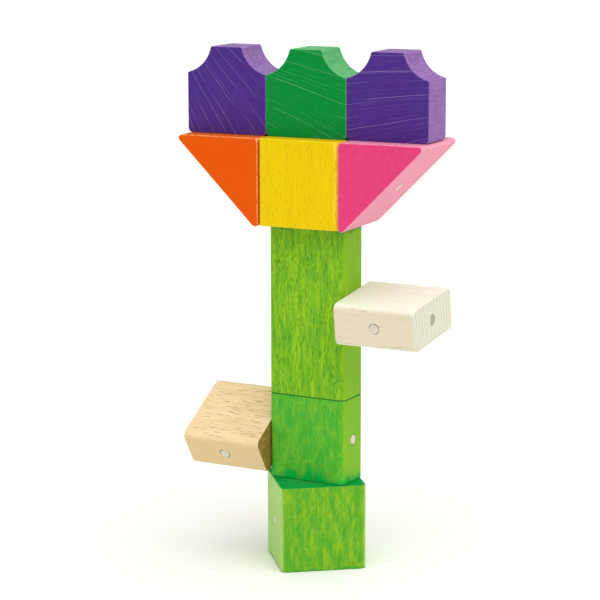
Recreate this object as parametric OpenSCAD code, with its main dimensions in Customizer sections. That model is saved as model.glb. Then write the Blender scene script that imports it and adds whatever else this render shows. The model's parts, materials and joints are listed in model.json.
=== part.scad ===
// Flower of magnetic wooden building blocks: a two-block stem on a cube foot, a row of three head
// blocks, three notched petals on top and two leaf blocks held on the sides of the stem.
// Every block is sawn and dyed beech. Loose magnets sit in blind pockets under glued wooden plugs,
// so each contact between two blocks can swivel and can be pulled apart.
// Frame: origin at the middle of the foot's underside, +Z up, +X along the petal row, -Y the front.

/* [Blocks] */
// Edge of the cubes, and the length that the other blocks are sawn to
unit = 40; // [30:0.5:60]
// Length of the tall stem block
tall_l = 80; // [50:0.5:140]
// How much the planed strip that the stem blocks and the leaves are sawn from is under the unit
planed_off = 0.8; // [0.4:0.1:2]
// Depth of the two prisms, front to back
prism_d = 40; // [24:0.5:60]
// Width and height of the prisms
prism_w = 40; // [30:0.5:60]
// Air left between two blocks that hold each other
contact_gap = 0.02; // [0.01:0.01:0.2]

/* [Petals] */
// Height of a petal
petal_h = 40; // [34:0.5:60]
// Thickness of a petal, front to back
petal_t = 20; // [12:0.5:40]
// Radius of the hollow cut out of each upper corner
notch_r = 15.5; // [8:0.1:17]
// How far the middle of that hollow lies outside the corner, both ways
notch_out = 3.1; // [0:0.1:6]
// How far the petals stand in front of the stem's middle plane
petal_forward = 1; // [0:0.1:4]

/* [Edges] */
// Radius of the edges that run along the grain of the cubes and the strip
long_r = 3; // [1:0.1:6]
// Radius that eases the sawn edges of the cubes and the strip
ease_r = 0.4; // [0.2:0.1:0.9]
// Radius of the prisms' three edges
prism_r = 2; // [1:0.1:4]
// Radius of the petals' lower edges
petal_r = 2.2; // [1:0.1:4]
// Radius of the petals' edges beside the hollows
tip_r = 0.9; // [0.3:0.1:1.5]

/* [Magnets and plugs] */
// Diameter of a magnet
magnet_d = 5; // [3:0.1:8]
// Length of a magnet
magnet_l = 5; // [2:0.1:7]
// Gap between a magnet and the wall of its pocket
magnet_gap = 0.1; // [0.05:0.01:0.3]
// Gap left at each end of a magnet
end_gap = 0.1; // [0.05:0.01:0.5]
// Thickness of the wooden plug that closes a pocket
plug_t = 1.5; // [0.8:0.1:3]
// How deep the plug lies under the face of the block
plug_recess = 0.15; // [0.05:0.01:0.4]
// Width of the countersunk rim round a plug
rim = 0.25; // [0.1:0.05:0.6]

/* [How it stands] */
// Turn of the foot about the stem's axis, from the petal row
foot_turn = 36; // [-180:1:180]
// Turn of the two stem blocks about the same axis
stem_turn = -3; // [-3:0.5:3]
// Tilt of the right leaf, back edge up
leaf_right_tilt = 8; // [-180:1:180]
// Tilt of the left leaf, back edge up
leaf_left_tilt = 32; // [-40:1:40]

/* [Hidden] */
$fn = 48;

// Heights of the contacts, from the ground up
lower_z = unit + contact_gap;
tall_z = lower_z + unit + contact_gap;
head_z = tall_z + tall_l + contact_gap;
petal_z = head_z + prism_w + contact_gap;
// The head stands as high as the prisms beside it
head_h = prism_w;
// Middles of the two side blocks of the head, from the stem's axis
side_x = (unit + prism_w) / 2 + contact_gap;
// The petals stand shoulder to shoulder, one on each block of the head
petal_w = side_x - contact_gap;
// The strip is as wide as the unit and half as thick, less what planing takes off
strip_w = unit - planed_off;
strip_t = strip_w / 2;

pocket_r = magnet_d / 2 + magnet_gap;
pocket_depth = plug_recess + plug_t + 2 * end_gap + magnet_l;
// How far a cutting tool runs past the face that it cuts
past = 1;

// Directions that turn a tool's +Z to face out of a block
UP = [0, 0, 0];
DOWN = [180, 0, 0];
RIGHT = [0, 90, 0];
LEFT = [0, -90, 0];
UNDER = [0, 135, 0];

// Contact faces of each kind of block: the middle of the face, and the way that it faces
function box_faces(w, l) = [
    [[0, 0, l], UP], [[0, 0, 0], DOWN], [[w / 2, 0, l / 2], RIGHT], [[-w / 2, 0, l / 2], LEFT]
];
// Middle of the prism's slanting face, which its rounded edges push outwards
slant_mid = prism_w / 2 + prism_r / sqrt(2);
prism_faces = [
    [[0, 0, prism_w / 2], LEFT],
    [[prism_w / 2, 0, prism_w], UP],
    [[slant_mid, 0, prism_w - slant_mid], UNDER]
];
petal_faces = [[[0, 0, 0], DOWN]];

// Which faces hold a block's own magnets; the rest hold the magnets that neighbours pivot on
TOP = 0;
BASE = 1;
RIGHT_SIDE = 2;
LEFT_SIDE = 3;

// Colours of the dyed and natural blocks
GREEN = "#58b32c";
YELLOW = "#f2d300";
ORANGE = "#ea5a05";
PINK = "#e8437f";
PURPLE = "#4b2d8a";
PETAL_GREEN = "#058c36";
WHITE_WOOD = "#ede3ce";
BEECH = "#ecc794";
PLUG_WOOD = "#e6ddcb";
NICKEL = "#b9bcc0";

// ---------- outlines ----------

module rounded_rectangle(w, h, r) {
    square([w - 2 * r, h], center = true);
    square([w, h - 2 * r], center = true);
    for (x = [-1, 1], y = [-1, 1])
        translate([x * (w / 2 - r), y * (h / 2 - r)])
            circle(r);
}

// What has to come off a sharp corner to round it: the wedge round the corner, outside a circle
module corner_waste(middle, r, wedge) {
    difference() {
        polygon(wedge);
        translate(middle)
            circle(r);
    }
}

// Right-angled triangle with rounded corners that touches all sides of a square of edge w: the
// right angle is at the upper left, and the slant faces down to the right
module prism_outline(w, r) {
    // From a rounded corner's circle out to the sharp corner of the slant, along a leg
    reach = r * (1 + sqrt(2));
    slant = r / sqrt(2);
    inner = w - r;
    difference() {
        polygon([[0, r - reach], [0, w], [inner + reach, w]]);
        corner_waste([r, inner], r, [[-past, inner], [r, inner], [r, w + past], [-past, w + past]]);
        corner_waste([r, r], r, [
            [-past, r], [r, r], [r + slant + past, r - slant - past],
            [r, r - reach - past], [-past, r - reach - past]
        ]);
        corner_waste([inner, inner], r, [
            [inner, w + past], [inner, inner], [inner + slant + past, inner - slant - past],
            [w + reach, inner], [w + reach + past, w + past]
        ]);
    }
}

// What comes off the sharp edge beside a hollow, seen from the corner that the hollow was cut out
// of: its circle touches the flat face above and the hollow below
module tip_waste() {
    middle = [notch_out - sqrt(pow(notch_r + tip_r, 2) - pow(notch_out + tip_r, 2)), -tip_r];
    toward = (middle - [notch_out, notch_out]) / (notch_r + tip_r);
    touch = [notch_out, notch_out] + toward * notch_r;
    corner_waste(middle, tip_r, [middle, [middle[0], past], [touch[0] + past, past], touch]);
}

module petal_outline() {
    difference() {
        translate([0, petal_h / 2])
            rounded_rectangle(petal_w, petal_h, petal_r);
        for (side = [0, 1])
            mirror([side, 0])
                translate([petal_w / 2, petal_h]) {
                    translate([notch_out, notch_out])
                        circle(notch_r);
                    tip_waste();
                    mirror([1, -1])
                        tip_waste();
                }
    }
}

// ---------- solids, each with its grain along its own Z, or front to back ----------

// A block with large radii along Z and eased edges at both sawn ends, standing on the origin
module sawn_block(w, t, l) {
    intersection() {
        linear_extrude(l)
            rounded_rectangle(w, t, long_r);
        translate([0, t / 2, l / 2])
            rotate([90, 0, 0])
                linear_extrude(t)
                    rounded_rectangle(w, l, ease_r);
        translate([-w / 2, 0, l / 2])
            rotate([90, 0, 90])
                linear_extrude(w)
                    rounded_rectangle(t, l, ease_r);
    }
}

// Stands an outline up and gives it a depth, centred front to back
module upright(depth) {
    translate([0, depth / 2, 0])
        rotate([90, 0, 0])
            linear_extrude(depth)
                children();
}

// ---------- pockets, plugs and magnets ----------

module at_faces(faces) {
    for (f = faces)
        translate(f[0])
            rotate(f[1])
                children();
}

module pocket() {
    translate([0, 0, -pocket_depth])
        cylinder(r = pocket_r, h = pocket_depth + past);
    translate([0, 0, -rim])
        cylinder(r1 = pocket_r, r2 = pocket_r + rim, h = rim);
}

module plug() {
    translate([0, 0, -plug_recess - plug_t])
        cylinder(r = pocket_r, h = plug_t);
}

module magnet() {
    translate([0, 0, -pocket_depth + end_gap])
        cylinder(d = magnet_d, h = magnet_l);
}

module pocketed(faces) {
    difference() {
        children();
        at_faces(faces)
            pocket();
    }
}

module plugs(faces) {
    color(PLUG_WOOD)
        at_faces(faces)
            plug();
}

module magnets(faces) {
    color(NICKEL)
        at_faces(faces)
            magnet();
}

function pick(faces, which) = [for (i = which) faces[i]];

// ---------- where each block stands ----------

module foot_place() {
    rotate([0, 0, foot_turn])
        children();
}

module stem_place(z) {
    rotate([0, 0, stem_turn])
        translate([0, 0, z])
            children();
}

module head_place() {
    translate([0, 0, head_z])
        children();
}

module right_prism_place() {
    translate([unit / 2 + contact_gap, 0, head_z])
        children();
}

module left_prism_place() {
    mirror([1, 0, 0])
        right_prism_place()
            children();
}

module petal_place(x) {
    translate([x, -petal_forward, petal_z])
        children();
}

// A leaf is a strip block laid down, with its grain along X
module lay_down(x, tilt) {
    translate([x, 0, 0])
        rotate([tilt, 0, 0])
            rotate([90, 0, 90])
                children();
}

module right_leaf_place() {
    stem_place(tall_z + tall_l / 2)
        lay_down(strip_w / 2 + contact_gap, leaf_right_tilt)
            children();
}

module left_leaf_place() {
    stem_place(lower_z + unit / 2)
        lay_down(-strip_w / 2 - contact_gap - unit, leaf_left_tilt)
            children();
}

cube_faces = box_faces(unit, unit);
head_faces = box_faces(unit, head_h);
strip_faces = box_faces(strip_w, unit);
tall_faces = box_faces(strip_w, tall_l);

// ---------- foot ----------

module foot_cube() {
    color(GREEN)
        foot_place()
            pocketed(cube_faces)
                sawn_block(unit, unit, unit);
}

module foot_plugs() {
    foot_place()
        plugs(cube_faces);
}

module foot_magnets() {
    foot_place()
        magnets(pick(cube_faces, [BASE, RIGHT_SIDE, LEFT_SIDE]));
}

module foot_top_magnet() {
    foot_place()
        magnets(pick(cube_faces, [TOP]));
}

// ---------- lower stem block ----------

module lower_stem_block() {
    color(GREEN)
        stem_place(lower_z)
            pocketed(strip_faces)
                sawn_block(strip_w, strip_t, unit);
}

module lower_stem_plugs() {
    stem_place(lower_z)
        plugs(strip_faces);
}

module lower_stem_magnets() {
    stem_place(lower_z)
        magnets(pick(strip_faces, [BASE, RIGHT_SIDE]));
}

module lower_top_magnet() {
    stem_place(lower_z)
        magnets(pick(strip_faces, [TOP]));
}

module lower_left_magnet() {
    stem_place(lower_z)
        magnets(pick(strip_faces, [LEFT_SIDE]));
}

// ---------- tall stem block ----------

module tall_stem_block() {
    color(GREEN)
        stem_place(tall_z)
            pocketed(tall_faces)
                sawn_block(strip_w, strip_t, tall_l);
}

module tall_stem_plugs() {
    stem_place(tall_z)
        plugs(tall_faces);
}

module tall_stem_magnets() {
    stem_place(tall_z)
        magnets(pick(tall_faces, [BASE, LEFT_SIDE]));
}

module tall_top_magnet() {
    stem_place(tall_z)
        magnets(pick(tall_faces, [TOP]));
}

module tall_right_magnet() {
    stem_place(tall_z)
        magnets(pick(tall_faces, [RIGHT_SIDE]));
}

// ---------- head ----------

module head_cube() {
    color(YELLOW)
        head_place()
            pocketed(head_faces)
                sawn_block(unit, unit, head_h);
}

module head_plugs() {
    head_place()
        plugs(head_faces);
}

module head_magnets() {
    head_place()
        magnets(pick(head_faces, [TOP, BASE]));
}

module head_left_magnet() {
    head_place()
        magnets(pick(head_faces, [LEFT_SIDE]));
}

module head_right_magnet() {
    head_place()
        magnets(pick(head_faces, [RIGHT_SIDE]));
}

module prism_solid() {
    pocketed(prism_faces)
        upright(prism_d)
            prism_outline(prism_w, prism_r);
}

module left_prism() {
    color(ORANGE)
        left_prism_place()
            prism_solid();
}

module right_prism() {
    color(PINK)
        right_prism_place()
            prism_solid();
}

module left_prism_plugs() {
    left_prism_place()
        plugs(prism_faces);
}

module right_prism_plugs() {
    right_prism_place()
        plugs(prism_faces);
}

module left_prism_magnets() {
    left_prism_place()
        magnets(prism_faces);
}

module right_prism_magnets() {
    right_prism_place()
        magnets(prism_faces);
}

// ---------- petals ----------

module petal(x, dye) {
    color(dye)
        petal_place(x)
            pocketed(petal_faces)
                upright(petal_t)
                    petal_outline();
}

module petal_plug(x) {
    petal_place(x)
        plugs(petal_faces);
}

module petal_magnet(x) {
    petal_place(x)
        magnets(petal_faces);
}

// ---------- leaves ----------

module left_leaf() {
    color(BEECH)
        left_leaf_place()
            pocketed(strip_faces)
                sawn_block(strip_w, strip_t, unit);
}

module right_leaf() {
    color(WHITE_WOOD)
        right_leaf_place()
            pocketed(strip_faces)
                sawn_block(strip_w, strip_t, unit);
}

module left_leaf_plugs() {
    left_leaf_place()
        plugs(strip_faces);
}

module right_leaf_plugs() {
    right_leaf_place()
        plugs(strip_faces);
}

module left_leaf_magnets() {
    left_leaf_place()
        magnets(strip_faces);
}

module right_leaf_magnets() {
    right_leaf_place()
        magnets(strip_faces);
}

// ---------- the nodes ----------

foot_cube();
lower_stem_block();
tall_stem_block();
head_cube();
left_prism();
right_prism();
petal(-side_x, PURPLE);  // left_petal
petal(0, PETAL_GREEN);  // centre_petal
petal(side_x, PURPLE);  // right_petal
left_leaf();
right_leaf();
foot_plugs();
lower_stem_plugs();
tall_stem_plugs();
head_plugs();
left_prism_plugs();
right_prism_plugs();
petal_plug(-side_x);  // left_petal_plug
petal_plug(0);  // centre_petal_plug
petal_plug(side_x);  // right_petal_plug
left_leaf_plugs();
right_leaf_plugs();
foot_magnets();
lower_stem_magnets();
tall_stem_magnets();
head_magnets();
left_prism_magnets();
right_prism_magnets();
petal_magnet(-side_x);  // left_petal_magnet
petal_magnet(0);  // centre_petal_magnet
petal_magnet(side_x);  // right_petal_magnet
left_leaf_magnets();
right_leaf_magnets();
foot_top_magnet();
lower_top_magnet();
tall_top_magnet();
lower_left_magnet();
tall_right_magnet();
head_left_magnet();
head_right_magnet();
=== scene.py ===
"""Flower of magnetic wooden building blocks: finished blocks, their woods and dyes, and a plain studio.

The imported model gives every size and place. Each kind of block is a class that shapes one block in the
block's own directions (width, height or thickness, and grain) and then stands it where the model has it.
"""

import json
import logging
import math
from dataclasses import dataclass, replace
from enum import Enum

import bmesh
import bpy
from mathutils import Matrix, Vector


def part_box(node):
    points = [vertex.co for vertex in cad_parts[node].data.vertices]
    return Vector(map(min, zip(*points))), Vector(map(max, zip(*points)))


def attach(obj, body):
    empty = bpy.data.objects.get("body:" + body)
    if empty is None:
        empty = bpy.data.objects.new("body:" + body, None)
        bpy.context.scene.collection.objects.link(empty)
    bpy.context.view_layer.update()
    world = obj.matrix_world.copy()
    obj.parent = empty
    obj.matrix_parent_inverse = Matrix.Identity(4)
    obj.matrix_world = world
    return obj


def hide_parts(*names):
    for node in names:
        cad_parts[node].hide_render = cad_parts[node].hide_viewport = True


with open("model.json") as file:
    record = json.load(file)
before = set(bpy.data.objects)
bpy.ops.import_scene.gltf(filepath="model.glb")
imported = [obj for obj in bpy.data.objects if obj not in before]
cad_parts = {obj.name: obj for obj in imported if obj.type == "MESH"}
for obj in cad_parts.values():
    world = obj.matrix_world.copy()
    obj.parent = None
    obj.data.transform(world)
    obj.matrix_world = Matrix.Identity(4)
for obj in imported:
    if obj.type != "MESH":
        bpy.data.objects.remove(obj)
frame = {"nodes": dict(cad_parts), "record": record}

LOG = logging.getLogger("flower")
MM = 0.001
SAME_SPOT = 1e-3 * MM
X_WAY = Vector((1, 0, 0))
Y_WAY = Vector((0, 1, 0))
Z_WAY = Vector((0, 0, 1))

Material = bpy.types.Material
Shape = bmesh.types.BMesh
Edges = list[bmesh.types.BMEdge]
Triple = tuple[float, float, float]
Socket = bpy.types.NodeSocket
Value = float | tuple[float, ...] | Vector | Socket


# ---------- colours and finishes ----------


def dye(code: str) -> tuple[float, float, float, float]:
    """Turns a six-digit screen colour into the linear one that a shader takes.

    Args:
        code: The colour as six hexadecimal digits.

    Returns:
        Red, green, blue and alpha.
    """
    shares = [int(code[i : i + 2], 16) / 255 for i in (0, 2, 4)]
    linear = [s / 12.92 if s <= 0.04045 else ((s + 0.055) / 1.055) ** 2.4 for s in shares]
    return (*linear, 1.0)


class Rays(Enum):
    """How brightly the wood's rays show as lines on a sawn end."""

    FAINT = 0.16
    SOFT = 0.4
    BRIGHT = 0.95


@dataclass(frozen=True)
class Cut:
    """How a block was sawn out of the log. Lengths are in millimetres, angles in degrees.

    pith_far and pith_way say where the log's pith lies from the block's middle, seen along the grain.
    seed tells one block's pattern from another's. ring_gap and line_gap are how far the years and the
    large rays lie apart.
    """

    pith_far: float
    pith_way: float
    seed: float
    ring_gap: float = 2.6
    line_gap: float = 3.0


@dataclass(frozen=True)
class Finish:
    """Colours of one dyed or bare block, each as six hexadecimal digits, and how strongly each shows.

    light and dark are the patches on long grain, deep is the strongest streak, dash the ray ends seen
    there, bright the pale ones, and side the ground of the narrow sides. end and end_dark are for sawn
    ends, line the rays on them. The rim colour lightens the eased edges, partly for rubbing and partly as a
    painted highlight where a rounded edge catches the light. soak is for the bands that drank most dye
    beside a sawn end, soak_low and soak_high millimetres deep. The seam shade share is how dark a painted
    shade lies in the eased rims of the sawn ends, which sit in the seams between stacked blocks. patch is
    the patches' width and length, and dash_many the share of places with a dash.
    """

    slot: str
    light: str
    dark: str
    deep: str
    dash: str
    bright: str
    side: str
    end: str
    end_dark: str
    line: str
    rim_tone: str
    soak: str
    patch: tuple[float, float] = (2.4, 30.0)
    dash_size: tuple[float, float] = (0.5, 2.4)
    dash_share: float = 0.6
    dash_many: float = 0.6
    bright_share: float = 0.3
    streak_share: float = 0.6
    ring_share: float = 0.2
    side_tint: float = 0.8
    wide_marks: float = 1.0
    side_marks: float = 0.25
    cloud_share: float = 0.6
    rays: Rays = Rays.SOFT
    wear_sheen_share: float = 0.5
    rim_wear_sheen: float = 1.0
    soak_low: float = 0.0
    soak_high: float = 0.0
    seam_shade_share: float = 0.0
    roughness: float = 0.5


# Painted shade, laid into the eased end rims of the stem blocks where they meet in seams.
SEAM_SHADE_TONE = "0c4a1c"

# In every finish the rim colour lightens the eased edges, partly for rubbing and partly as a painted
# highlight where a rounded edge catches the light.
FOOT_GREEN = Finish(
    slot="green_dye", light="92bc22", dark="58a828", deep="449e30", dash="3f9a2c", bright="a8cc22",
    side="bae384", end="009f47", end_dark="009741", line="08a646", rim_tone="b0d428", soak="4aa030",
    patch=(3.0, 7.5), dash_share=0.55, bright_share=0.45, side_tint=0.85, wear_sheen_share=0.7, rim_wear_sheen=0.3,
    soak_low=0.8, soak_high=0.4,
)
LOWER_GREEN = Finish(
    slot="green_dye", light="74c030", dark="4eae30", deep="3aa434", dash="2c9a34", bright="98c82a",
    side="8cbe20", end="06983c", end_dark="008f37", line="10a044", rim_tone="a0cc18", soak="04b044",
    patch=(4.4, 7.0), dash_share=0.5, bright_share=0.4, wear_sheen_share=0.8, rim_wear_sheen=0.15, soak_low=4.6,
    soak_high=0.25, seam_shade_share=0.85,
)
TALL_GREEN = replace(
    LOWER_GREEN,
    light="98ca20", dark="74b420", deep="52a02c", dash="2a7a1a", bright="b8d628", side="87bb20",
    rim_tone="a0cc1c", soak="3a963a", patch=(2.6, 16.0), dash_size=(0.36, 2.8), dash_share=0.95,
    bright_share=0.7, wear_sheen_share=0.5, soak_low=0.25, soak_high=1.8,
)
HEAD_YELLOW = Finish(
    slot="yellow_dye", light="edcd00", dark="e8c700", deep="e2c000", dash="c49400", bright="f6de30",
    side="eecc00", end="e8c000", end_dark="deb400", line="f4da40", rim_tone="ffec50", soak="e8ba00",
    dash_size=(0.28, 3.0), dash_share=0.7, dash_many=0.42, bright_share=0.2, streak_share=0.4,
    side_marks=0.8,
)
PRISM_ORANGE = Finish(
    slot="orange_dye", light="e87014", dark="e4680e", deep="dc5c08", dash="d05204", bright="f08a34",
    side="e66c12", end="e45700", end_dark="e25400", line="ec6414", rim_tone="ffb478", soak="dc5000",
    dash_share=0.25, ring_share=0.1, rays=Rays.FAINT, wear_sheen_share=1.0,
)
PRISM_PINK = Finish(
    slot="pink_dye", light="f299b2", dark="ef90ab", deep="e98aa6", dash="dc7896", bright="f8bccc",
    side="f09ab2", end="e4427c", end_dark="da3872", line="f284a8", rim_tone="fab8ca", soak="cc3468",
    dash_share=0.25, ring_share=0.15, side_marks=1.0,
)
PETAL_PURPLE = Finish(
    slot="purple_dye", light="9d79b4", dark="8e68a6", deep="7c5698", dash="6c4788", bright="b79ccc",
    side="946eac", end="4d2e84", end_dark="45277d", line="c8b6ea", rim_tone="947cba", soak="3f2072",
    patch=(1.2, 3.0), dash_share=0.4, bright_share=0.5, ring_share=0.1, side_marks=1.0,
    cloud_share=0.5, rays=Rays.BRIGHT,
)
PETAL_GREEN = replace(
    PETAL_PURPLE,
    slot="deep_green_dye", light="74be7c", dark="5cb26e", deep="3aa456", dash="2c984c", bright="98d09c",
    side="66b674", end="008a37", end_dark="008231", line="9ce4b6", rim_tone="64c084", soak="007828",
)
BARE_BEECH = Finish(
    slot="bare_beech", light="f9e0b3", dark="f3d7a9", deep="e4c491", dash="8e5828", bright="f2debc",
    side="e5c697", end="b8904a", end_dark="7c5622", line="ccb87a", rim_tone="eed4a8", soak="b48c58",
    dash_size=(0.28, 4.2), dash_share=0.95, dash_many=0.36, ring_share=0.45, side_marks=0.2,
    rays=Rays.FAINT, roughness=0.46,
)
PALE_WOOD = Finish(
    slot="pale_wood", light="f5f6e3", dark="f2f2de", deep="dccfb0", dash="80643c", bright="f6f0e0",
    side="e2d2b7", end="e3e2ce", end_dark="c6c2ac", line="eeece0", rim_tone="eee6d2", soak="b8a888",
    dash_size=(0.38, 2.8), dash_share=1.0, dash_many=0.2, streak_share=0.5, ring_share=0.8, wide_marks=0.1,
    side_marks=0.6, cloud_share=0.15, rays=Rays.FAINT, roughness=0.46,
)


class Sheet:
    """The nodes of one material, added one step at a time."""

    def __init__(self, name: str) -> None:
        """Starts an empty sheet with its shader.

        Args:
            name: The material's name.
        """
        self.material = bpy.data.materials.new(name)
        self.material.use_nodes = True
        self.nodes = self.material.node_tree.nodes
        self.links = self.material.node_tree.links
        self.shader = self.nodes["Principled BSDF"]

    def feed(self, socket: Socket, value: Value) -> None:
        """Links or sets one input.

        Args:
            socket: The input.
            value: Another node's output, or a number or colour.
        """
        if isinstance(value, Socket):
            self.links.new(value, socket)
        else:
            socket.default_value = value

    def step(
        self, kind: str, inputs: dict[str | int, Value], out: str | int = 0, **settings: object
    ) -> Socket:
        """Adds one node.

        Args:
            kind: The node's type, without its ShaderNode prefix.
            inputs: What goes into its named or numbered inputs.
            out: Which output to hand back.
            settings: The node's own settings.

        Returns:
            The output.
        """
        node = self.nodes.new("ShaderNode" + kind)
        for name, setting in settings.items():
            setattr(node, name, setting)
        for name, value in inputs.items():
            self.feed(node.inputs[name], value)
        return node.outputs[out]

    def calc(self, operation: str, *values: Value) -> Socket:
        """Adds a step of arithmetic on its one to three values, and returns the result."""
        return self.step("Math", dict(enumerate(values)), operation=operation)

    def times(self, first: Value, *others: Value) -> Socket:
        """Multiplies values in turn, and returns the product."""
        for other in others:
            first = self.calc("MULTIPLY", first, other)
        return first

    def vector(self, operation: str, *values: Value) -> Socket:
        """Adds a step of arithmetic on vectors, and returns the result."""
        return self.step("VectorMath", dict(enumerate(values)), operation=operation)

    def place(self) -> Socket:
        """Where a point lies in its object, in millimetres."""
        return self.vector("DIVIDE", self.step("TexCoord", {}, "Object"), (MM, MM, MM))

    def mark(self, name: str) -> Socket:
        """Reads one of the mesh's own marks, from nought to one."""
        return self.step("Attribute", {}, "Fac", attribute_name=name)

    def ease(self, value: Value, low: Value, high: Value) -> Socket:
        """Turns a value into a smooth share, nought at low and one at high, and returns it."""
        inputs = {"Value": value, "From Min": low, "From Max": high}
        return self.step("MapRange", inputs, interpolation_type="SMOOTHSTEP", clamp=True)

    def between(self, share: Value, low: Value, high: Value) -> Socket:
        """Goes from one number to another by a share, and returns where that ends."""
        return self.step("Mix", {0: share, 2: low, 3: high}, data_type="FLOAT")

    def mix(self, share: Value, ground: Value, over: Value) -> Socket:
        """Lays one colour over another by a share, and returns the blend."""
        return self.step("Mix", {0: share, 6: ground, 7: over}, 2, data_type="RGBA")

    def tint(self, ground: Value, code: str, *shares: Value) -> Socket:
        """Lays a dye over a colour by the product of its shares, and returns the blend."""
        return self.mix(self.times(*shares), ground, dye(code))

    def noise(self, vector: Value, sizes: Triple, detail: float = 3.0) -> Socket:
        """Adds soft noise with patches of three sizes, and returns it: mostly near a half."""
        inputs = {"Vector": self.vector("DIVIDE", vector, sizes), "Scale": 1.0, "Detail": detail}
        return self.step("TexNoise", inputs)

    def scatter(self, inputs: dict[str | int, Value], **settings: object) -> tuple[Socket, Socket]:
        """Scatters points one to a unit, and returns the nearest one's distance and its own number."""
        distance = self.step("TexVoronoi", {**inputs, "Scale": 1.0}, "Distance", **settings)
        return distance, self.step("SeparateColor", {0: distance.node.outputs["Color"]})

    def parts(self, vector: Value) -> list[Socket]:
        """Takes a vector apart, and returns its three numbers."""
        return list(self.step("SeparateXYZ", {0: vector}).node.outputs)

    def bumps(self, height: Value, strength: float, deep: float) -> None:
        """Makes the surface uneven, by heights from nought to one that are millimetres deep."""
        bump = self.step("Bump", {"Height": height, "Strength": strength, "Distance": deep * MM})
        self.feed(self.shader.inputs["Normal"], bump)


@dataclass(frozen=True)
class Stand:
    """Where a block stands: its middle, and its directions of width, height and grain as columns."""

    middle: Vector
    turn: Matrix

    @classmethod
    def along(cls, middle: Vector, width: Vector, grain: Vector) -> "Stand":
        """Sets a stand up from its middle and the ways of its width and grain, and returns it."""
        return cls(middle, Matrix((width, grain.cross(width), grain)).transposed())

    def matrix(self) -> Matrix:
        """The move from the block's own place to where it stands."""
        return Matrix.Translation(self.middle) @ self.turn.to_4x4()


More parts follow.
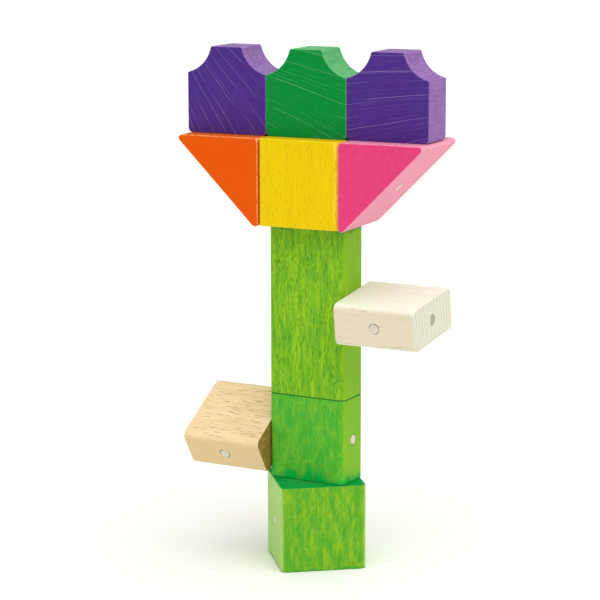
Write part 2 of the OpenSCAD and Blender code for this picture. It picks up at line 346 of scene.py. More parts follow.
class Timber:
    """What the wood itself gives at each point of one block: grain, rings, rays and pores.

    Sizes are in millimetres. Pairs are where a share begins and where it is full.
    """

    SEED_SHIFT = (37.0, 53.0, 71.0)
    SWAY_SIZES = (26.0, 26.0, 60.0)
    SWAY_FAR = (2.0, 2.0, 0.0)
    END_TURN = (0.62, 0.9)
    SIDE_TURN = (0.5, 0.95)
    LINE_SEED = 7.3
    LINE_FULL = 0.35
    LINE_OWN = 91.0
    LINE_FADE = (0.4, 0.54)
    LINE_WEAKEST = 0.35
    GRIT_SIZES = (0.8, 0.8, 2.0)
    GRIT = (0.22, 0.5)
    DASH_REACH = 0.37
    DASH_FULL = 0.68
    DASH_SHIFT = 17.0
    DASH_STRONG = 0.3
    DRIFT_SIZES = (14.0, 14.0, 90.0)
    DRIFT_FAR = 1.6
    LATE_WOOD = (0.62, 0.96)
    STREAK = (0.34, 0.66)

    def __init__(self, sheet: Sheet, stand: Stand, cut: Cut) -> None:
        """Lays the wood's directions through the block.

        Args:
            sheet: The material's nodes.
            stand: Where the block stands.
            cut: How it was sawn.
        """
        self.sheet = sheet
        self.cut = cut
        spin = tuple(stand.turn.to_euler("XYZ"))
        own = {"Rotation": spin, "Scale": (MM, MM, MM), "Location": tuple(stand.middle)}
        place = sheet.step("TexCoord", {}, "Object")
        self.spot = sheet.step("Mapping", {"Vector": place, **own}, vector_type="TEXTURE")
        facing = sheet.step("TexCoord", {}, "Normal")
        self.facing = sheet.step("Mapping", {"Vector": facing, "Rotation": spin}, vector_type="TEXTURE")
        shift = tuple(cut.seed * far for far in self.SEED_SHIFT)
        self.shifted = sheet.vector("ADD", self.spot, shift)
        self.polar = self._polar()

    def _polar(self) -> Socket:
        """Measures from the pith.

        Returns:
            The distance from the pith, the way round it, and the way along the grain, in millimetres.
        """
        sheet, cut = self.sheet, self.cut
        spread = sheet.vector("DIVIDE", self.shifted, self.SWAY_SIZES)
        sway = sheet.step("TexNoise", {"Vector": spread, "Scale": 1.0}, 1)
        bend = sheet.vector("MULTIPLY", sheet.vector("SUBTRACT", sway, (0.5, 0.5, 0.5)), self.SWAY_FAR)
        way = math.radians(cut.pith_way)
        pith = (cut.pith_far * math.cos(way), cut.pith_far * math.sin(way), 0.0)
        own = {"Location": pith, "Rotation": (0.0, 0.0, way + math.pi)}
        spot = sheet.vector("ADD", self.spot, bend)
        turned = sheet.step("Mapping", {"Vector": spot, **own}, vector_type="TEXTURE")
        out, around, along = sheet.parts(turned)
        squares = sheet.calc("ADD", sheet.times(out, out), sheet.times(around, around))
        arc = sheet.times(sheet.calc("ARCTAN2", around, out), cut.pith_far)
        return sheet.step("CombineXYZ", {0: sheet.calc("SQRT", squares), 1: arc, 2: along})

    def end_share(self) -> Socket:
        """How much of a point's surface is end grain, from nought to one."""
        along = self.sheet.parts(self.facing)[2]
        return self.sheet.ease(self.sheet.calc("ABSOLUTE", along), *self.END_TURN)

    def side_share(self) -> Socket:
        """How much a point belongs to the block's narrow sides, from nought to one."""
        across = self.sheet.parts(self.facing)[0]
        return self.sheet.ease(self.sheet.calc("ABSOLUTE", across), *self.SIDE_TURN)

    def ray_lines(self, gap: float, half: float, reach: float, shift: float = 0.0) -> Socket:
        """Draws the large rays as they show on a sawn end: thin straight lines that point at the pith.

        Args:
            gap: How far the lines lie apart on average, in millimetres.
            half: Half the width of a line.
            reach: About how long a line runs before it fades.
            shift: Tells one set of lines from another.

        Returns:
            How strongly a line shows, from nought to one.
        """
        sheet = self.sheet
        out, around, _ = sheet.parts(self.polar)
        place = sheet.calc("ADD", sheet.calc("DIVIDE", around, gap), shift + self.cut.seed * self.LINE_SEED)
        distance, own = sheet.scatter({"W": place}, voronoi_dimensions="1D")
        line = sheet.ease(distance, half / gap, self.LINE_FULL * half / gap)
        run = sheet.calc("ADD", sheet.calc("DIVIDE", out, reach), sheet.times(own, self.LINE_OWN))
        fade = sheet.step("TexNoise", {"W": run, "Scale": 1.0, "Detail": 1.0}, noise_dimensions="1D")
        grit = sheet.ease(sheet.noise(self.shifted, self.GRIT_SIZES, 2.0), *self.GRIT)
        shown = sheet.times(sheet.ease(fade, *self.LINE_FADE), grit)
        weakest = self.LINE_WEAKEST
        return sheet.times(line, shown, sheet.calc("ADD", weakest, sheet.times(own, 1.0 - weakest)))

    def dashes(self, width: float, length: float, share: float, shift: float = 0.0) -> Socket:
        """Scatters short dashes along the grain, as ray ends and pores show on a planed face.

        Args:
            width: How wide a dash is, in millimetres.
            length: How long it is.
            share: How many of the places for a dash hold one, from nought to one.
            shift: Tells one scatter from another.

        Returns:
            How strongly a dash shows, from nought to one.
        """
        sheet = self.sheet
        reach = self.DASH_REACH
        across, along = width / (2 * reach), length / (2 * reach)
        moved = sheet.vector("ADD", self.shifted, (shift * self.DASH_SHIFT,) * 3)
        spread = sheet.vector("DIVIDE", moved, (across, across, along))
        distance, own = sheet.scatter({"Vector": spread})
        strength = sheet.ease(own, 1.0 - share, min(1.0, 1.0 + self.DASH_STRONG - share))
        return sheet.times(sheet.ease(distance, reach, reach * self.DASH_FULL), strength)

    def rings(self) -> Socket:
        """The thin dark line at each year's end, from nought to one."""
        sheet = self.sheet
        drift = sheet.times(sheet.noise(self.shifted, self.DRIFT_SIZES), self.DRIFT_FAR)
        out = sheet.parts(self.polar)[0]
        years = sheet.calc("DIVIDE", sheet.calc("ADD", out, drift), self.cut.ring_gap)
        return sheet.ease(sheet.calc("FRACT", years), *self.LATE_WOOD)

    def streaks(self, across: float, along: float, detail: float = 4.0) -> Socket:
        """Long patches along the grain, as a share that is spread out evenly. Sizes are in millimetres."""
        noise = self.sheet.noise(self.shifted, (across, across, along), detail)
        return self.sheet.ease(noise, *self.STREAK)


class WoodDress:
    """The material of one block: its wood, its dye, its rubbed edges with their painted highlight, and any
    painted shade in the seams at its ends.

    Sizes are in millimetres, along the block's width, height and grain. Pairs are where a share begins
    and where it is full.
    """

    FIBRES = (0.4, 6.0, 3.0)
    FIBRE_SHARE = 0.4
    LINE_HALF = 0.07
    LINE_RUN = 46.0
    DEEP_STREAKS = (0.9, 12.0)
    RING_ALONG = 0.5
    PALE_LENGTH = 0.8
    PALE_MANY = 0.55
    PALE_SHIFT = 5.0
    LONG_LENGTH = 1.9
    LONG_MANY = 0.35
    LONG_SHIFT = 3.0
    SOAK_WIDE = (7.0, 7.0, 30.0)
    SOAK_THIN = (0.9, 0.9, 7.0)
    THIN_SHARE = 0.35
    RAGGED = (0.3, 0.7)
    SOAK_EDGE = (-0.5, 0.7)
    # Where the painted seam shade begins and where it is full, in millimetres in from each sawn end.
    SEAM_SHADE_BAND = (0.36, 0.14)
    CLOUD_SIZES = (2.2, 2.2, 4.0)
    CLOUD = (0.3, 0.7)
    PORE_SIZES = (0.3, 0.3, 0.8)
    PORES = (0.58, 0.76)
    PORE_SHARE = 0.5
    HAIRS = (1.2, 0.1, 14.0, 40.0)
    HAIR_SHARE = 0.14
    WEAR_SHEEN_SIZES = (1.4, 1.4, 2.8)
    WEAR_SHEEN = (0.3, 0.6)
    FIBRE_ROUGH = 0.12
    END_ROUGH = 0.1
    LINE_SMOOTH = 0.12
    SAWN_SIZES = (0.3, 0.3, 0.5)
    SWELL_SIZES = (9.0, 9.0, 26.0)
    SWELL_SHARE = 3.0

    def __init__(self, name: str, stand: Stand, finish: Finish, cut: Cut, half_length: float) -> None:
        """Sets out what the steps share.

        Args:
            name: The material's name.
            stand: Where the block stands.
            finish: Its colours.
            cut: How it was sawn.
            half_length: Half its length along the grain, in millimetres.
        """
        self.finish = finish
        self.half_length = half_length
        self.sheet = Sheet(name)
        self.timber = Timber(self.sheet, stand, cut)
        self.end = self.timber.end_share()
        self.fibres = self.timber.streaks(*self.FIBRES)
        self.lines = self.timber.ray_lines(cut.line_gap, self.LINE_HALF, self.LINE_RUN)

    def material(self) -> Material:
        """Puts wood, dye, rubbed edges with their painted highlight and painted seam shade together.

        Returns:
            The material.
        """
        colour = self.sheet.mix(self.end, self._soaked_and_seam_shaded(self._long_grain()), self._end_grain())
        self.sheet.feed(self.sheet.shader.inputs["Base Color"], self._wear_and_sheen(colour))
        self._surface()
        return self.sheet.material

    def _long_grain(self) -> Socket:
        """Colours the faces that run along the grain.

        Returns:
            The colour.
        """
        sheet, timber, finish = self.sheet, self.timber, self.finish
        side = timber.side_share()
        marks = sheet.between(side, finish.wide_marks, finish.side_marks)
        streaked = sheet.times(marks, finish.streak_share)
        colour = sheet.mix(timber.streaks(*finish.patch), dye(finish.light), dye(finish.dark))
        colour = sheet.tint(colour, finish.side, side, finish.side_tint)
        deep = sheet.calc("POWER", timber.streaks(*self.DEEP_STREAKS), 2.0)
        colour = sheet.tint(colour, finish.deep, deep, streaked)
        colour = sheet.tint(colour, finish.deep, self.fibres, self.FIBRE_SHARE, streaked)
        colour = sheet.tint(colour, finish.deep, timber.rings(), finish.ring_share * self.RING_ALONG, marks)
        width, length = finish.dash_size
        pale = timber.dashes(width, length * self.PALE_LENGTH, self.PALE_MANY, self.PALE_SHIFT)
        colour = sheet.tint(colour, finish.bright, pale, finish.bright_share, marks)
        short = timber.dashes(width, length, finish.dash_many)
        long_many = finish.dash_many * self.LONG_MANY
        long = timber.dashes(width, length * self.LONG_LENGTH, long_many, self.LONG_SHIFT)
        dark = sheet.calc("MAXIMUM", short, long)
        return sheet.tint(colour, finish.dash, dark, finish.dash_share, marks)

    def _soaked_and_seam_shaded(self, colour: Socket) -> Socket:
        """Darkens the bands where dye crept in from a sawn end, and paints shade into the eased rims that
        sit in the seams between blocks.

        Args:
            colour: The colour so far.

        Returns:
            The colour.
        """
        sheet, finish, half = self.sheet, self.finish, self.half_length
        along = sheet.parts(self.timber.spot)[2]
        wide = sheet.times(sheet.noise(self.timber.shifted, self.SOAK_WIDE, 2.0), 1.0 - self.THIN_SHARE)
        thin = sheet.times(sheet.noise(self.timber.shifted, self.SOAK_THIN, 4.0), self.THIN_SHARE)
        ragged = sheet.ease(sheet.calc("ADD", wide, thin), *self.RAGGED)
        for width, side in ((finish.soak_low, -1.0), (finish.soak_high, 1.0)):
            if width:
                depth = sheet.calc("SUBTRACT", half, sheet.times(along, side))
                inside = sheet.calc("SUBTRACT", sheet.times(ragged, 2.0 * width), depth)
                low, high = (share * width for share in self.SOAK_EDGE)
                colour = sheet.tint(colour, finish.soak, sheet.ease(inside, low, high))
        # Painted shade: the eased rims of both sawn ends, which sit in the seams between stacked blocks,
        # are darkened towards a dark green.
        if finish.seam_shade_share:
            low, high = (half - far for far in self.SEAM_SHADE_BAND)
            rim = sheet.ease(sheet.calc("ABSOLUTE", along), low, high)
            colour = sheet.tint(colour, SEAM_SHADE_TONE, rim, finish.seam_shade_share)
        return colour

    def _end_grain(self) -> Socket:
        """Colours the sawn ends.

        Returns:
            The colour.
        """
        sheet, timber, finish = self.sheet, self.timber, self.finish
        cloud = sheet.ease(sheet.noise(timber.shifted, self.CLOUD_SIZES, 6.0), *self.CLOUD)
        colour = sheet.tint(dye(finish.end), finish.end_dark, cloud, finish.cloud_share)
        colour = sheet.tint(colour, finish.end_dark, timber.rings(), finish.ring_share)
        pores = sheet.ease(sheet.noise(timber.shifted, self.PORE_SIZES, 1.0), *self.PORES)
        colour = sheet.tint(colour, finish.end_dark, pores, self.PORE_SHARE)
        hairs = sheet.times(timber.ray_lines(*self.HAIRS), self.HAIR_SHARE)
        shown = sheet.calc("MAXIMUM", self.lines, hairs)
        return sheet.tint(colour, finish.line, shown, finish.rays.value)

    def _wear_and_sheen(self, colour: Socket) -> Socket:
        """Lightens the eased edges unevenly, partly for rubbing and partly as a painted highlight where a
        rounding catches the light, and returns the colour.
        """
        sheet = self.sheet
        uneven = sheet.ease(sheet.noise(self.timber.shifted, self.WEAR_SHEEN_SIZES, 4.0), *self.WEAR_SHEEN)
        return sheet.tint(colour, self.finish.rim_tone, sheet.mark(RIM_TONE), uneven, self.finish.wear_sheen_share)

    def _surface(self) -> None:
        """Sets how rough and how uneven the wood is."""
        sheet, shifted = self.sheet, self.timber.shifted
        base = self.finish.roughness - self.FIBRE_ROUGH / 2
        rough = sheet.calc("ADD", base, sheet.times(self.fibres, self.FIBRE_ROUGH))
        rough = sheet.calc("ADD", rough, sheet.times(self.end, self.END_ROUGH))
        rough = sheet.calc("SUBTRACT", rough, sheet.times(self.lines, self.LINE_SMOOTH))
        sheet.feed(sheet.shader.inputs["Roughness"], rough)
        low = sheet.between(self.end, self.fibres, sheet.noise(shifted, self.SAWN_SIZES, 2.0))
        swell = sheet.times(sheet.noise(shifted, self.SWELL_SIZES, 1.0), self.SWELL_SHARE)
        sheet.bumps(sheet.calc("ADD", low, swell), 0.35, 0.06)
        sheet.shader.inputs["IOR"].default_value = 1.17


class PlugDress:
    """The bare dowel wood of the plugs."""

    FRESH = "e6dfcc"
    GREY_TONE = "949080"
    GRAIN_TONE = "b8a888"
    GLUE = "6a5a3c"

    def material(self) -> Material:
        """Builds it: pale, finely streaked, each plug a little different, with a dark glue line.

        Returns:
            The material.
        """
        sheet = Sheet("plug_wood")
        place = sheet.place()
        # Each plug is greyed by its own given share.
        colour = sheet.tint(dye(self.FRESH), self.GREY_TONE, sheet.mark(PLUG_GREY))
        grain = sheet.ease(sheet.noise(place, (0.35, 0.35, 3.0), 3.0), 0.4, 0.7)
        colour = sheet.tint(colour, self.GRAIN_TONE, grain, 0.3)
        glue = sheet.ease(sheet.noise(place, (2.2, 2.2, 2.2), 1.0), 0.35, 0.6)
        colour = sheet.tint(colour, self.GLUE, sheet.mark(RIM_TONE), glue, 0.9)
        sheet.feed(sheet.shader.inputs["Base Color"], colour)
        sheet.feed(sheet.shader.inputs["Roughness"], sheet.calc("ADD", 0.5, sheet.times(grain, 0.15)))
        sheet.bumps(grain, 0.4, 0.04)
        return sheet.material


class NickelDress:
    """The plating of the magnets."""

    BRIGHT = "c9ccd0"
    HAZED = "a9adb3"

    def material(self) -> Material:
        """Builds it: bright, slightly hazed, with fine scratches round the magnet.

        Returns:
            The material.
        """
        sheet = Sheet("magnet_nickel")
        place = sheet.place()
        haze = sheet.noise(place, (1.6, 1.6, 1.6), 4.0)
        scratch = sheet.noise(place, (0.1, 0.1, 2.0), 2.0)
        sheet.feed(sheet.shader.inputs["Base Color"], sheet.tint(dye(self.BRIGHT), self.HAZED, haze))
        sheet.shader.inputs["Metallic"].default_value = 1.0
        sheet.feed(sheet.shader.inputs["Roughness"], sheet.calc("ADD", 0.16, sheet.times(haze, 0.2)))
        sheet.bumps(scratch, 0.2, 0.01)
        return sheet.material


# ---------- shapes ----------

RIM_TONE = "rim_tone"
PLUG_GREY = "plug_grey"
ROUND = "rounding"
SMOOTH_UNDER = math.radians(38)
STRAIGHT = 0.999


def fresh_object(name: str, shape: Shape) -> bpy.types.Object:
    """Turns a shape into an object of the scene.

    Args:
        name: The object's name.
        shape: Its mesh, which is used up.

    Returns:
        The object.
    """
    mesh = bpy.data.meshes.new(name)
    shape.to_mesh(mesh)
    shape.free()
    made = bpy.data.objects.new(name, mesh)
    bpy.context.scene.collection.objects.link(made)
    return made


def edges_along(shape: Shape, way: Vector, least_turn: float = 20.0) -> Edges:
    """Finds the edges that run one way between two faces at an angle.

    Args:
        shape: The mesh.
        way: The way that they run.
        least_turn: The least angle between their faces, in degrees.

    Returns:
        The edges.
    """
    found = []
    for edge in shape.edges:
        run = (edge.verts[1].co - edge.verts[0].co).normalized()
        if abs(run.dot(way)) > STRAIGHT and edge.calc_face_angle(0.0) > math.radians(least_turn):
            found.append(edge)
    return found


def rim_edges(shape: Shape, way: Vector) -> Edges:
    """Finds the edges round the two faces that face one way or its opposite, and returns them."""
    caps = {face for face in shape.faces if abs(face.normal.dot(way)) > STRAIGHT}
    return [edge for edge in shape.edges if sum(face in caps for face in edge.link_faces) == 1]


def round_edges(shape: Shape, edges: Edges, offset: float, segments: int, wear_sheen: float = 1.0) -> None:
    """Rounds edges, and notes how strongly each rounding is to be lightened, partly for rubbing and partly
    as a painted highlight.

    Args:
        shape: The mesh.
        edges: The edges.
        offset: How far from the edge the rounding starts.
        segments: How many strips it has.
        wear_sheen: How strongly it is lightened, for rubbing and as a painted highlight, above nought and
            up to one.
    """
    round_layer = shape.faces.layers.float.get(ROUND) or shape.faces.layers.float.new(ROUND)
    made = bmesh.ops.bevel(
        shape, geom=edges, offset=offset, segments=segments, profile=0.5, affect="EDGES", material=-1,
        offset_type="OFFSET", clamp_overlap=True,
    )
    for face in made["faces"]:
        face[round_layer] = wear_sheen


def thicken(shape: Shape, face: bmesh.types.BMFace, thick: float) -> None:
    """Draws a shape that is one flat face across Z out to a solid, half to either side.

    Args:
        shape: The mesh.
        face: Its face.
        thick: How thick the solid gets.
    """
    bmesh.ops.translate(shape, vec=-Z_WAY * thick / 2, verts=shape.verts)
    grown = bmesh.ops.extrude_face_region(shape, geom=[face])
    moved = [item for item in grown["geom"] if isinstance(item, bmesh.types.BMVert)]
    bmesh.ops.translate(shape, vec=Z_WAY * thick, verts=moved)
    bmesh.ops.recalc_face_normals(shape, faces=shape.faces)


def mark_wear_and_sheen(shape: Shape, full_turn: float = 35.0) -> None:
    """Marks the middle of every rounding to be lightened, partly for rubbing and partly as a painted
    highlight where it catches the light, and leaves what borders on a flat face unmarked.

    Args:
        shape: The mesh, after all its edges are rounded.
        full_turn: How far a rounding has to turn from the flat faces to be fully lightened, in degrees.
    """
    round_layer = shape.faces.layers.float[ROUND]
    rim_tone = shape.verts.layers.float.new(RIM_TONE)
    shape.normal_update()
    flats = [face.normal.copy() for face in shape.faces if not face[round_layer]]
    full = 1.0 - math.cos(math.radians(full_turn))
    for vert in shape.verts:
        wear_sheen = min(face[round_layer] for face in vert.link_faces)
        lean = 1.0 - max(vert.normal.dot(flat) for flat in flats)
        vert[rim_tone] = wear_sheen * min(1.0, lean / full)


def lathe(
    shape: Shape, profile: list[tuple[float, float]], face: Matrix, sides: int
) -> list[bmesh.types.BMVert]:
    """Adds a closed turned solid.

    Args:
        shape: The mesh that it is added to.
        profile: Radius and height of each corner, from the axis out and back to the axis.
        face: Where it stands, with its axis along Z.
        sides: How many sides it has.

    Returns:
        Its vertices.
    """
    verts = [shape.verts.new((radius, 0.0, height)) for radius, height in profile]
    edges = [shape.edges.new(pair) for pair in zip(verts, verts[1:])]
    before = set(shape.faces)
    bmesh.ops.spin(
        shape, geom=verts + edges, cent=(0, 0, 0), axis=Z_WAY, angle=math.tau, steps=sides, use_merge=True,
    )
    faces = [one for one in shape.faces if one not in before]
    turned = list(dict.fromkeys(vert for one in faces for vert in one.verts))
    bmesh.ops.remove_doubles(shape, verts=turned, dist=SAME_SPOT)
    faces = [one for one in shape.faces if one not in before]
    bmesh.ops.recalc_face_normals(shape, faces=faces)
    turned = list(dict.fromkeys(vert for one in faces for vert in one.verts))
    bmesh.ops.transform(shape, matrix=face, verts=turned)
    return turned


@dataclass(frozen=True)
class Pocket:
    """The hole for a magnet and its plug, in metres."""

    radius: float = 2.6 * MM
    depth: float = 6.85 * MM
    plug_under: float = 0.15 * MM
    plug_thick: float = 1.5 * MM
    rim: float = 0.25 * MM
    glue_gap: float = 0.05 * MM
    plug_ease: float = 0.22 * MM
    half_eased: float = 0.3
    sides: int = 40

    def cutter(self, shape: Shape, face: Matrix) -> None:
        """Adds the solid that cuts one pocket: a bore with a countersunk mouth.

        Args:
            shape: The mesh that it is added to.
            face: The middle of the face, with its Z facing out of the block.
        """
        wide = self.radius + self.rim
        profile = [
            (0.0, -self.depth), (self.radius, -self.depth), (self.radius, -self.rim),
            (wide, 0.0), (wide, self.rim), (0.0, self.rim),
        ]
        lathe(shape, profile, face, self.sides)

    def plug(self, shape: Shape, face: Matrix, age: float) -> None:
        """Adds one plug, with its top edge eased and that edge marked, where glue and dirt gather.

        Args:
            shape: The mesh that it is added to.
            face: The middle of the face, with its Z facing out of the block.
            greyness: How grey the plug is, from nought to one.
        """
        glue_layer = shape.verts.layers.float.get(RIM_TONE) or shape.verts.layers.float.new(RIM_TONE)
        grey_layer = shape.verts.layers.float.get(PLUG_GREY) or shape.verts.layers.float.new(PLUG_GREY)
        wide = self.radius - self.glue_gap
        top = -self.plug_under
        eased = wide - self.plug_ease
        inner = eased - self.plug_ease
        bend = self.plug_ease * self.half_eased
        profile = [
            (0.0, top - self.plug_thick), (wide, top - self.plug_thick), (wide, top - self.plug_ease),
            (wide - bend, top - bend), (eased, top), (inner, top), (0.0, top),
        ]
        back = face.inverted()
        for vert in lathe(shape, profile, face, self.sides):
            vert[grey_layer] = age
            if (back @ vert.co).to_2d().length > 0.5 * (eased + inner):
                vert[glue_layer] = 1.0


POCKET = Pocket()


def face_out(middle: Vector, way: Vector) -> Matrix:
    """The move from the origin to the middle of a contact face, with Z the way that it faces."""
    return Matrix.Translation(middle) @ way.to_track_quat("Z", "Y").to_matrix().to_4x4()


@dataclass
class Block:
    """One wooden block with its plugs. Sizes are in metres; its own Z runs along the grain."""

    node: str
    body: str
    stand: Stand
    finish: Finish
    cut: Cut
    length: float
    plug_greys: tuple[float, ...] = (0.1, 0.1, 0.1, 0.1)
    ease: float = 0.45 * MM

    EASE_STRIPS = 3
    PLUGS = "_plugs"

    def solid(self) -> Shape:
        """Shapes the wood with its long edges rounded, before its ends are eased and its pockets cut."""
        raise NotImplementedError

    def contacts(self) -> list[Matrix]:
        """Places the contact faces that have a plug."""
        raise NotImplementedError

    def build(self, plug_wood: Material) -> None:
        """Makes the block and its plugs, stands them up and dresses them.

        Args:
            plug_wood: The plugs' material.
        """
        shape = self.solid()
        # The eased rims of the sawn ends take their own, smaller share of rubbing and painted highlight.
        round_edges(shape, rim_edges(shape, Z_WAY), self.ease, self.EASE_STRIPS, self.finish.rim_wear_sheen)
        mark_wear_and_sheen(shape)
        name = self.node + "_wood"
        block = fresh_object(name, shape)
        self._bore(block)
        dress = WoodDress(name, self.stand, self.finish, self.cut, self.length / 2 / MM)
        self._finish(block, dress.material(), self.node)
        shape = bmesh.new()
        for face, age in zip(self.contacts(), self.plug_greys):
            POCKET.plug(shape, face, age)
        plug_node = self.body + self.PLUGS
        plugs = fresh_object(plug_node + "_wood", shape)
        self._finish(plugs, plug_wood, plug_node)
        LOG.info("%s: block and %d plugs", self.node, len(self.contacts()))

    def _bore(self, block: bpy.types.Object) -> None:
        """Cuts the pockets.

        Args:
            block: The block's object.
        """
        shape = bmesh.new()
        for face in self.contacts():
            POCKET.cutter(shape, face)
        cutter = fresh_object("cutter", shape)
        cut = block.modifiers.new("pockets", "BOOLEAN")
        cut.operation = "DIFFERENCE"
        cut.solver = "EXACT"
        cut.object = cutter
        seen = block.evaluated_get(bpy.context.evaluated_depsgraph_get())
        bored = bpy.data.meshes.new_from_object(seen)
        block.modifiers.clear()
        block.data = bored
        bpy.data.objects.remove(cutter)

    def _finish(self, made: bpy.types.Object, wood: Material, node: str) -> None:
        """Stands an object up, shades it, ties it to its body, and hides the imported node that it stands
        for.

        Args:
            made: The object.
            wood: Its material.
            node: The node that it stands for.
        """
        mesh = made.data
        mesh.transform(self.stand.matrix())
        mesh.materials.clear()
        mesh.materials.append(wood)
        mesh.polygons.foreach_set("use_smooth", [True] * len(mesh.polygons))
        mesh.set_sharp_from_angle(angle=SMOOTH_UNDER)
        even = made.modifiers.new("even shading", "WEIGHTED_NORMAL")
        even.keep_sharp = True
        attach(made, self.body)
        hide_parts(node)


@dataclass
class SawnBlock(Block):
    """A length of planed strip or square stock: large radii along the grain, eased sawn ends."""

    width: float = 0.0
    thick: float = 0.0
    long_r: float = 3.0 * MM

    LONG_STRIPS = 10

    def solid(self) -> Shape:
        """Shapes the wood.

        Returns:
            The mesh.
        """
        shape = bmesh.new()
        bmesh.ops.create_cube(shape, size=1.0)
        bmesh.ops.scale(shape, vec=(self.width, self.thick, self.length), verts=shape.verts)
        round_edges(shape, edges_along(shape, Z_WAY), self.long_r, self.LONG_STRIPS)
        return shape

    def contacts(self) -> list[Matrix]:
        """Places the contact faces: both ends and both narrow sides.

        Returns:
            The places.
        """
        end = Z_WAY * self.length / 2
        side = X_WAY * self.width / 2
        places = ((end, Z_WAY), (-end, -Z_WAY), (side, X_WAY), (-side, -X_WAY))
        return [face_out(middle, way) for middle, way in places]


@dataclass
class Prism(Block):
    """A right-angled prism, with its grain front to back: its right angle is at low X and high Y."""

    leg: float = 0.0
    radius: float = 2.0 * MM
    ease: float = 0.5 * MM

    SQUARE_UNDER = math.radians(100)
    SHARP_HALF = math.radians(22.5)
    SQUARE_STRIPS = 8
    SHARP_STRIPS = 12

    def solid(self) -> Shape:
        """Shapes the wood.

        Returns:
            The mesh.
        """
        half = self.leg / 2
        over = self.radius * math.sqrt(2)
        corners = [(-half, half), (-half, -half - over), (half + over, half)]
        shape = bmesh.new()
        face = shape.faces.new([shape.verts.new((x, y, 0)) for x, y in corners])
        thicken(shape, face, self.length)
        long_edges = edges_along(shape, Z_WAY)
        square = [edge for edge in long_edges if edge.calc_face_angle() < self.SQUARE_UNDER]
        sharp = [edge for edge in long_edges if edge not in square]
        round_edges(shape, square, self.radius, self.SQUARE_STRIPS)
        sharp = [edge for edge in sharp if edge.is_valid]
        round_edges(shape, sharp, self.radius / math.tan(self.SHARP_HALF), self.SHARP_STRIPS)
        return shape

    def contacts(self) -> list[Matrix]:
        """Places the contact faces: the two legs and the slant.

        Returns:
            The places.
        """
        half = self.leg / 2
        bulge = self.radius / math.sqrt(2)
        return [
            face_out(-X_WAY * half, -X_WAY),
            face_out(Y_WAY * half, Y_WAY),
            face_out(Vector((bulge, -bulge, 0)), (X_WAY - Y_WAY).normalized()),
        ]


@dataclass
class Petal(Block):
    """A square block with its upper corners cut out round, and its grain front to back."""

    width: float = 0.0
    height: float = 0.0
    notch_r: float = 15.5 * MM
    notch_out: float = 3.1 * MM
    foot_r: float = 2.2 * MM
    tip_r: float = 0.9 * MM
    ease: float = 0.4 * MM

    CORNER_TURN = 45.0
    NOTCH_STRIPS = 20
    FOOT_STRIPS = 8
    TIP_STRIPS = 5
    PLUGS = "_plug"

    def _outline(self, lean: float) -> Shape:
        """Draws the front's outline and fills it.

        Args:
            lean: How much less than a quarter turn the notch's arc has at either end.

        Returns:
            The mesh, one flat face.
        """
        right, top = self.width / 2, self.height / 2
        centre = Vector((right + self.notch_out, top + self.notch_out, 0))
        chord = math.sqrt(self.notch_r**2 - self.notch_out**2)
        shape = bmesh.new()
        start = shape.verts.new((centre.x - chord, top, 0))
        arc = bmesh.ops.spin(
            shape, geom=[start], cent=centre, axis=Z_WAY, angle=math.pi / 2 - 2 * lean,
            steps=self.NOTCH_STRIPS, use_merge=False,
        )
        last = next(item for item in arc["geom_last"] if isinstance(item, bmesh.types.BMVert))
        middle_top = shape.verts.new((0, top, 0))
        corner = shape.verts.new((right, -top, 0))
        middle_low = shape.verts.new((0, -top, 0))
        for pair in ((middle_top, start), (last, corner), (corner, middle_low)):
            shape.edges.new(pair)
        everything = list(shape.verts) + list(shape.edges)
        bmesh.ops.mirror(shape, geom=everything, axis="X", merge_dist=SAME_SPOT)
        bmesh.ops.remove_doubles(shape, verts=shape.verts, dist=SAME_SPOT)
        bmesh.ops.dissolve_verts(shape, verts=[vert for vert in shape.verts if abs(vert.co.x) < SAME_SPOT])
        bmesh.ops.contextual_create(shape, geom=list(shape.edges))
        return shape

    def solid(self) -> Shape:
        """Shapes the wood.

        Returns:
            The mesh.
        """
        lean = math.asin(self.notch_out / self.notch_r)
        shape = self._outline(lean)
        thicken(shape, next(iter(shape.faces)), self.length)
        corners = edges_along(shape, Z_WAY, self.CORNER_TURN)
        feet = [edge for edge in corners if edge.verts[0].co.y < 0]
        tips = [edge for edge in corners if edge not in feet]
        round_edges(shape, feet, self.foot_r, self.FOOT_STRIPS)
        tips = [edge for edge in tips if edge.is_valid]
        round_edges(shape, tips, self.tip_r / math.tan(math.pi / 4 + lean / 2), self.TIP_STRIPS)
        return shape

    def contacts(self) -> list[Matrix]:
        """Places the contact face under the petal."""
        return [face_out(-Y_WAY * self.height / 2, -Y_WAY)]


# ---------- the flower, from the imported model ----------


class Plan:
    """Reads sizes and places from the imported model."""

    def __init__(self, record: dict) -> None:
        """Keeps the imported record's mounts by name."""
        self.mounts = {mount["name"]: mount for mount in record["mounts"]}

    def spot(self, mount: str) -> Vector:
        """The middle of a mount."""
        return Vector(self.mounts[mount]["pos_m"])

    def way(self, mount: str) -> Vector:
        """The way that a mount faces."""
        return Vector(self.mounts[mount]["axis"]).normalized()

    def middle(self, node: str) -> Vector:
        """The middle of a node's box."""
        low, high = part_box(node)
        return (Vector(low) + Vector(high)) / 2

    def size(self, node: str) -> Vector:
        """The size of a node's box."""
        low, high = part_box(node)
        return Vector(high) - Vector(low)

    def reach(self, node: str, mount: str) -> float:
        """How far a mount lies from the middle of a node, the way that it faces."""
        return (self.spot(mount) - self.middle(node)).dot(self.way(mount))


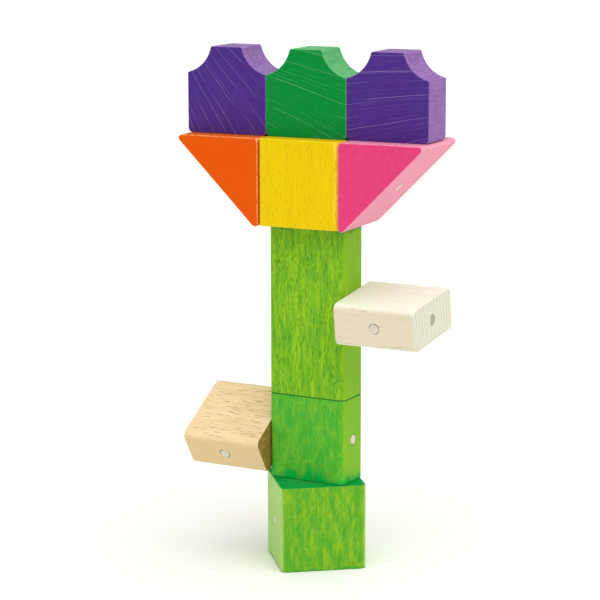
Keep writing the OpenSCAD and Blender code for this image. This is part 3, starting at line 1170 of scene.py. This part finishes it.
@dataclass(frozen=True)
class Flower:
    """All the blocks, from the ground up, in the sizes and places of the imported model."""

    plan: Plan

    STRIP_SHARE = 0.5

    def upright(
        self, node: str, body: str, mount: str, finish: Finish, cut: Cut, thick_share: float = STRIP_SHARE
    ) -> SawnBlock:
        """Sets up a block with its grain upright that may stand turned.

        Args:
            node: Its node.
            body: Its body.
            mount: The mount on one of its narrow sides.
            finish: Its finish.
            cut: How it was sawn.
            thick_share: Its thickness, in shares of its width.

        Returns:
            The block.
        """
        plan = self.plan
        width = 2 * plan.reach(node, mount)
        way = plan.way(mount)
        stand = Stand.along(plan.middle(node), way if way.x > 0 else -way, Z_WAY)
        length = plan.size(node).z
        return SawnBlock(node, body, stand, finish, cut, length, width=width, thick=width * thick_share)

    def head(self) -> SawnBlock:
        """Sets up the head cube.

        Returns:
            The block.
        """
        node = "head_cube"
        size = self.plan.size(node)
        stand = Stand.along(self.plan.middle(node), X_WAY, Z_WAY)
        cut = Cut(80, 262, 4)
        return SawnBlock(node, "head", stand, HEAD_YELLOW, cut, size.z, width=size.x, thick=size.y)

    def prism(self, side: str, width_way: Vector, finish: Finish, cut: Cut) -> Prism:
        """Sets up a prism of the head.

        Args:
            side: Left or right.
            width_way: The way from the head cube out.
            finish: Its finish.
            cut: How it was sawn.

        Returns:
            The block.
        """
        node = side + "_prism"
        size = self.plan.size(node)
        stand = Stand.along(self.plan.middle(node), width_way, width_way.cross(Z_WAY))
        return Prism(node, node, stand, finish, cut, size.y, leg=size.z)

    def petal(self, side: str, finish: Finish, cut: Cut) -> Petal:
        """Sets up a petal.

        Args:
            side: Left, centre or right.
            finish: Its finish.
            cut: How it was sawn.

        Returns:
            The block.
        """
        node = side + "_petal"
        size = self.plan.size(node)
        stand = Stand.along(self.plan.middle(node), X_WAY, -Y_WAY)
        return Petal(node, node, stand, finish, cut, size.y, width=size.x, height=size.z)

    def leaf(self, side: str, finish: Finish, cut: Cut, ages: tuple[float, ...]) -> SawnBlock:
        """Sets up a leaf: a strip block on its side.

        Args:
            side: Left or right.
            finish: Its finish.
            cut: How it was sawn.
            greys: How grey each of its plugs is: both ends, then back and front.

        Returns:
            The block.
        """
        plan = self.plan
        node = side + "_leaf"
        front, back = plan.spot(node + "_front"), plan.spot(node + "_back")
        middle = (front + back) / 2
        tip = plan.way(node + "_tip")
        width = (back - front).length
        length = 2 * (plan.spot(node + "_tip") - middle).dot(tip)
        stand = Stand.along(middle, plan.way(node + "_back"), tip if tip.x > 0 else -tip)
        thick = width * self.STRIP_SHARE
        return SawnBlock(node, node, stand, finish, cut, length, ages, width=width, thick=thick)

    def blocks(self) -> list[Block]:
        """Sets up every block, from the ground up.

        Returns:
            The blocks.
        """
        return [
            self.upright("foot_cube", "foot", "foot_right", FOOT_GREEN, Cut(62, 290, 1), 1.0),
            self.upright("lower_stem_block", "lower_stem", "lower_right", LOWER_GREEN, Cut(70, 255, 2)),
            self.upright("tall_stem_block", "tall_stem", "tall_left", TALL_GREEN, Cut(90, 268, 3)),
            self.head(),
            self.prism("left", -X_WAY, PRISM_ORANGE, Cut(85, 200, 5)),
            self.prism("right", X_WAY, PRISM_PINK, Cut(150, 207, 6)),
            self.petal("left", PETAL_PURPLE, Cut(110, 128, 7, line_gap=4.2)),
            self.petal("centre", PETAL_GREEN, Cut(130, 162, 8, line_gap=4.2)),
            self.petal("right", PETAL_PURPLE, Cut(190, 7, 9, line_gap=4.2)),
            self.leaf("left", BARE_BEECH, Cut(70, 250, 10), (0.1, 0.1, 0.1, 0.05)),
            self.leaf("right", PALE_WOOD, Cut(120, 184, 11, ring_gap=2.7), (0.8, 0.1, 0.1, 0.15)),
        ]


# ---------- the studio ----------


@dataclass(frozen=True)
class Studio:
    """A pale floor that runs out of sight, even light all round and a very wide lamp high in front."""

    floor_size: float = 14.0
    sky: float = 0.56
    lamp_power: float = 2.2
    lamp_spread: float = math.radians(85)
    lamp_from: Triple = (0.57, -0.48, 1.6)
    floor_tones: tuple[str, str] = ("f9f9f6", "f7f7f4")
    tone_size: float = 0.6

    def build(self) -> None:
        """Makes the floor and the lights."""
        scene = bpy.context.scene
        scene.view_settings.view_transform = "Standard"
        self._floor()
        scene.world = self._surroundings()
        lamp = bpy.data.lights.new("wide lamp", "SUN")
        lamp.energy = self.lamp_power
        lamp.angle = self.lamp_spread
        holder = bpy.data.objects.new("wide lamp", lamp)
        holder.location = self.lamp_from
        holder.rotation_euler = Vector(self.lamp_from).to_track_quat("Z", "Y").to_euler()
        scene.collection.objects.link(holder)

    def _surroundings(self) -> bpy.types.World:
        """Makes the even light, which looks white itself past the floor's end.

        Returns:
            The world.
        """
        world = bpy.data.worlds.new("studio")
        world.use_nodes = True
        tree = world.node_tree
        sky = tree.nodes["Background"]
        sky.inputs["Color"].default_value = (1.0, 1.0, 1.0, 1.0)
        seen = tree.nodes.new("ShaderNodeLightPath").outputs["Is Camera Ray"]
        strength = tree.nodes.new("ShaderNodeMapRange")
        tree.links.new(seen, strength.inputs["Value"])
        strength.inputs["To Min"].default_value = self.sky
        tree.links.new(strength.outputs[0], sky.inputs["Strength"])
        return world

    def _floor(self) -> None:
        """Lays the floor just under the foot."""
        shape = bmesh.new()
        bmesh.ops.create_grid(shape, x_segments=2, y_segments=2, size=self.floor_size)
        floor = fresh_object("floor", shape)
        sheet = Sheet("floor")
        place = sheet.step("TexCoord", {}, "Object")
        cloud = sheet.noise(place, (self.tone_size,) * 3, 2.0)
        pale, dull = self.floor_tones
        sheet.feed(sheet.shader.inputs["Base Color"], sheet.tint(dye(pale), dull, cloud))
        sheet.shader.inputs["Roughness"].default_value = 0.9
        sheet.shader.inputs["Specular IOR Level"].default_value = 0.1
        floor.data.materials.append(sheet.material)


@dataclass(frozen=True)
class View:
    """The camera: a long lens from the front and a little to the right, slightly above.

    Lengths are in metres but for the lens and sensor, angles in degrees.
    """

    azimuth: float = 25.6
    elevation: float = 10.68
    roll: float = -0.1
    distance: float = 1.053
    lens_mm: float = 136.4
    sensor_mm: float = 36.0
    sees_to: float = 100.0
    aim: Triple = (-0.0082, 0.0, 0.1233)

    def build(self) -> None:
        """Makes the camera and gives it to the scene."""
        turn, rise = math.radians(self.azimuth), math.radians(self.elevation)
        back = Vector((math.sin(turn) * math.cos(rise), -math.cos(turn) * math.cos(rise), math.sin(rise)))
        camera = bpy.data.cameras.new("camera")
        camera.lens = self.lens_mm
        camera.sensor_width = self.sensor_mm
        camera.clip_end = self.sees_to
        holder = bpy.data.objects.new("camera", camera)
        holder.location = Vector(self.aim) + back * self.distance
        look = back.to_track_quat("Z", "Y").to_matrix() @ Matrix.Rotation(math.radians(self.roll), 3, "Z")
        holder.rotation_euler = look.to_euler()
        bpy.context.scene.collection.objects.link(holder)
        bpy.context.scene.camera = holder


def dress_magnets(nodes: dict[str, bpy.types.Object]) -> None:
    """Gives the magnets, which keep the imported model's shape, their plating.

    Args:
        nodes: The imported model's objects by name.
    """
    nickel = NickelDress().material()
    for name, magnet in nodes.items():
        if "magnet" in name:
            magnet.data.materials.clear()
            magnet.data.materials.append(nickel)
            LOG.info("%s: plated", name)


def main() -> None:
    """Builds the flower block by block, then the studio and the camera."""
    logging.basicConfig(level=logging.INFO, format="%(message)s")
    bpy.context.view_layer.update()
    plug_wood = PlugDress().material()
    for block in Flower(Plan(frame["record"])).blocks():
        block.build(plug_wood)
    dress_magnets(frame["nodes"])
    View().build()
    Studio().build()


if __name__ == "__main__":
    main()
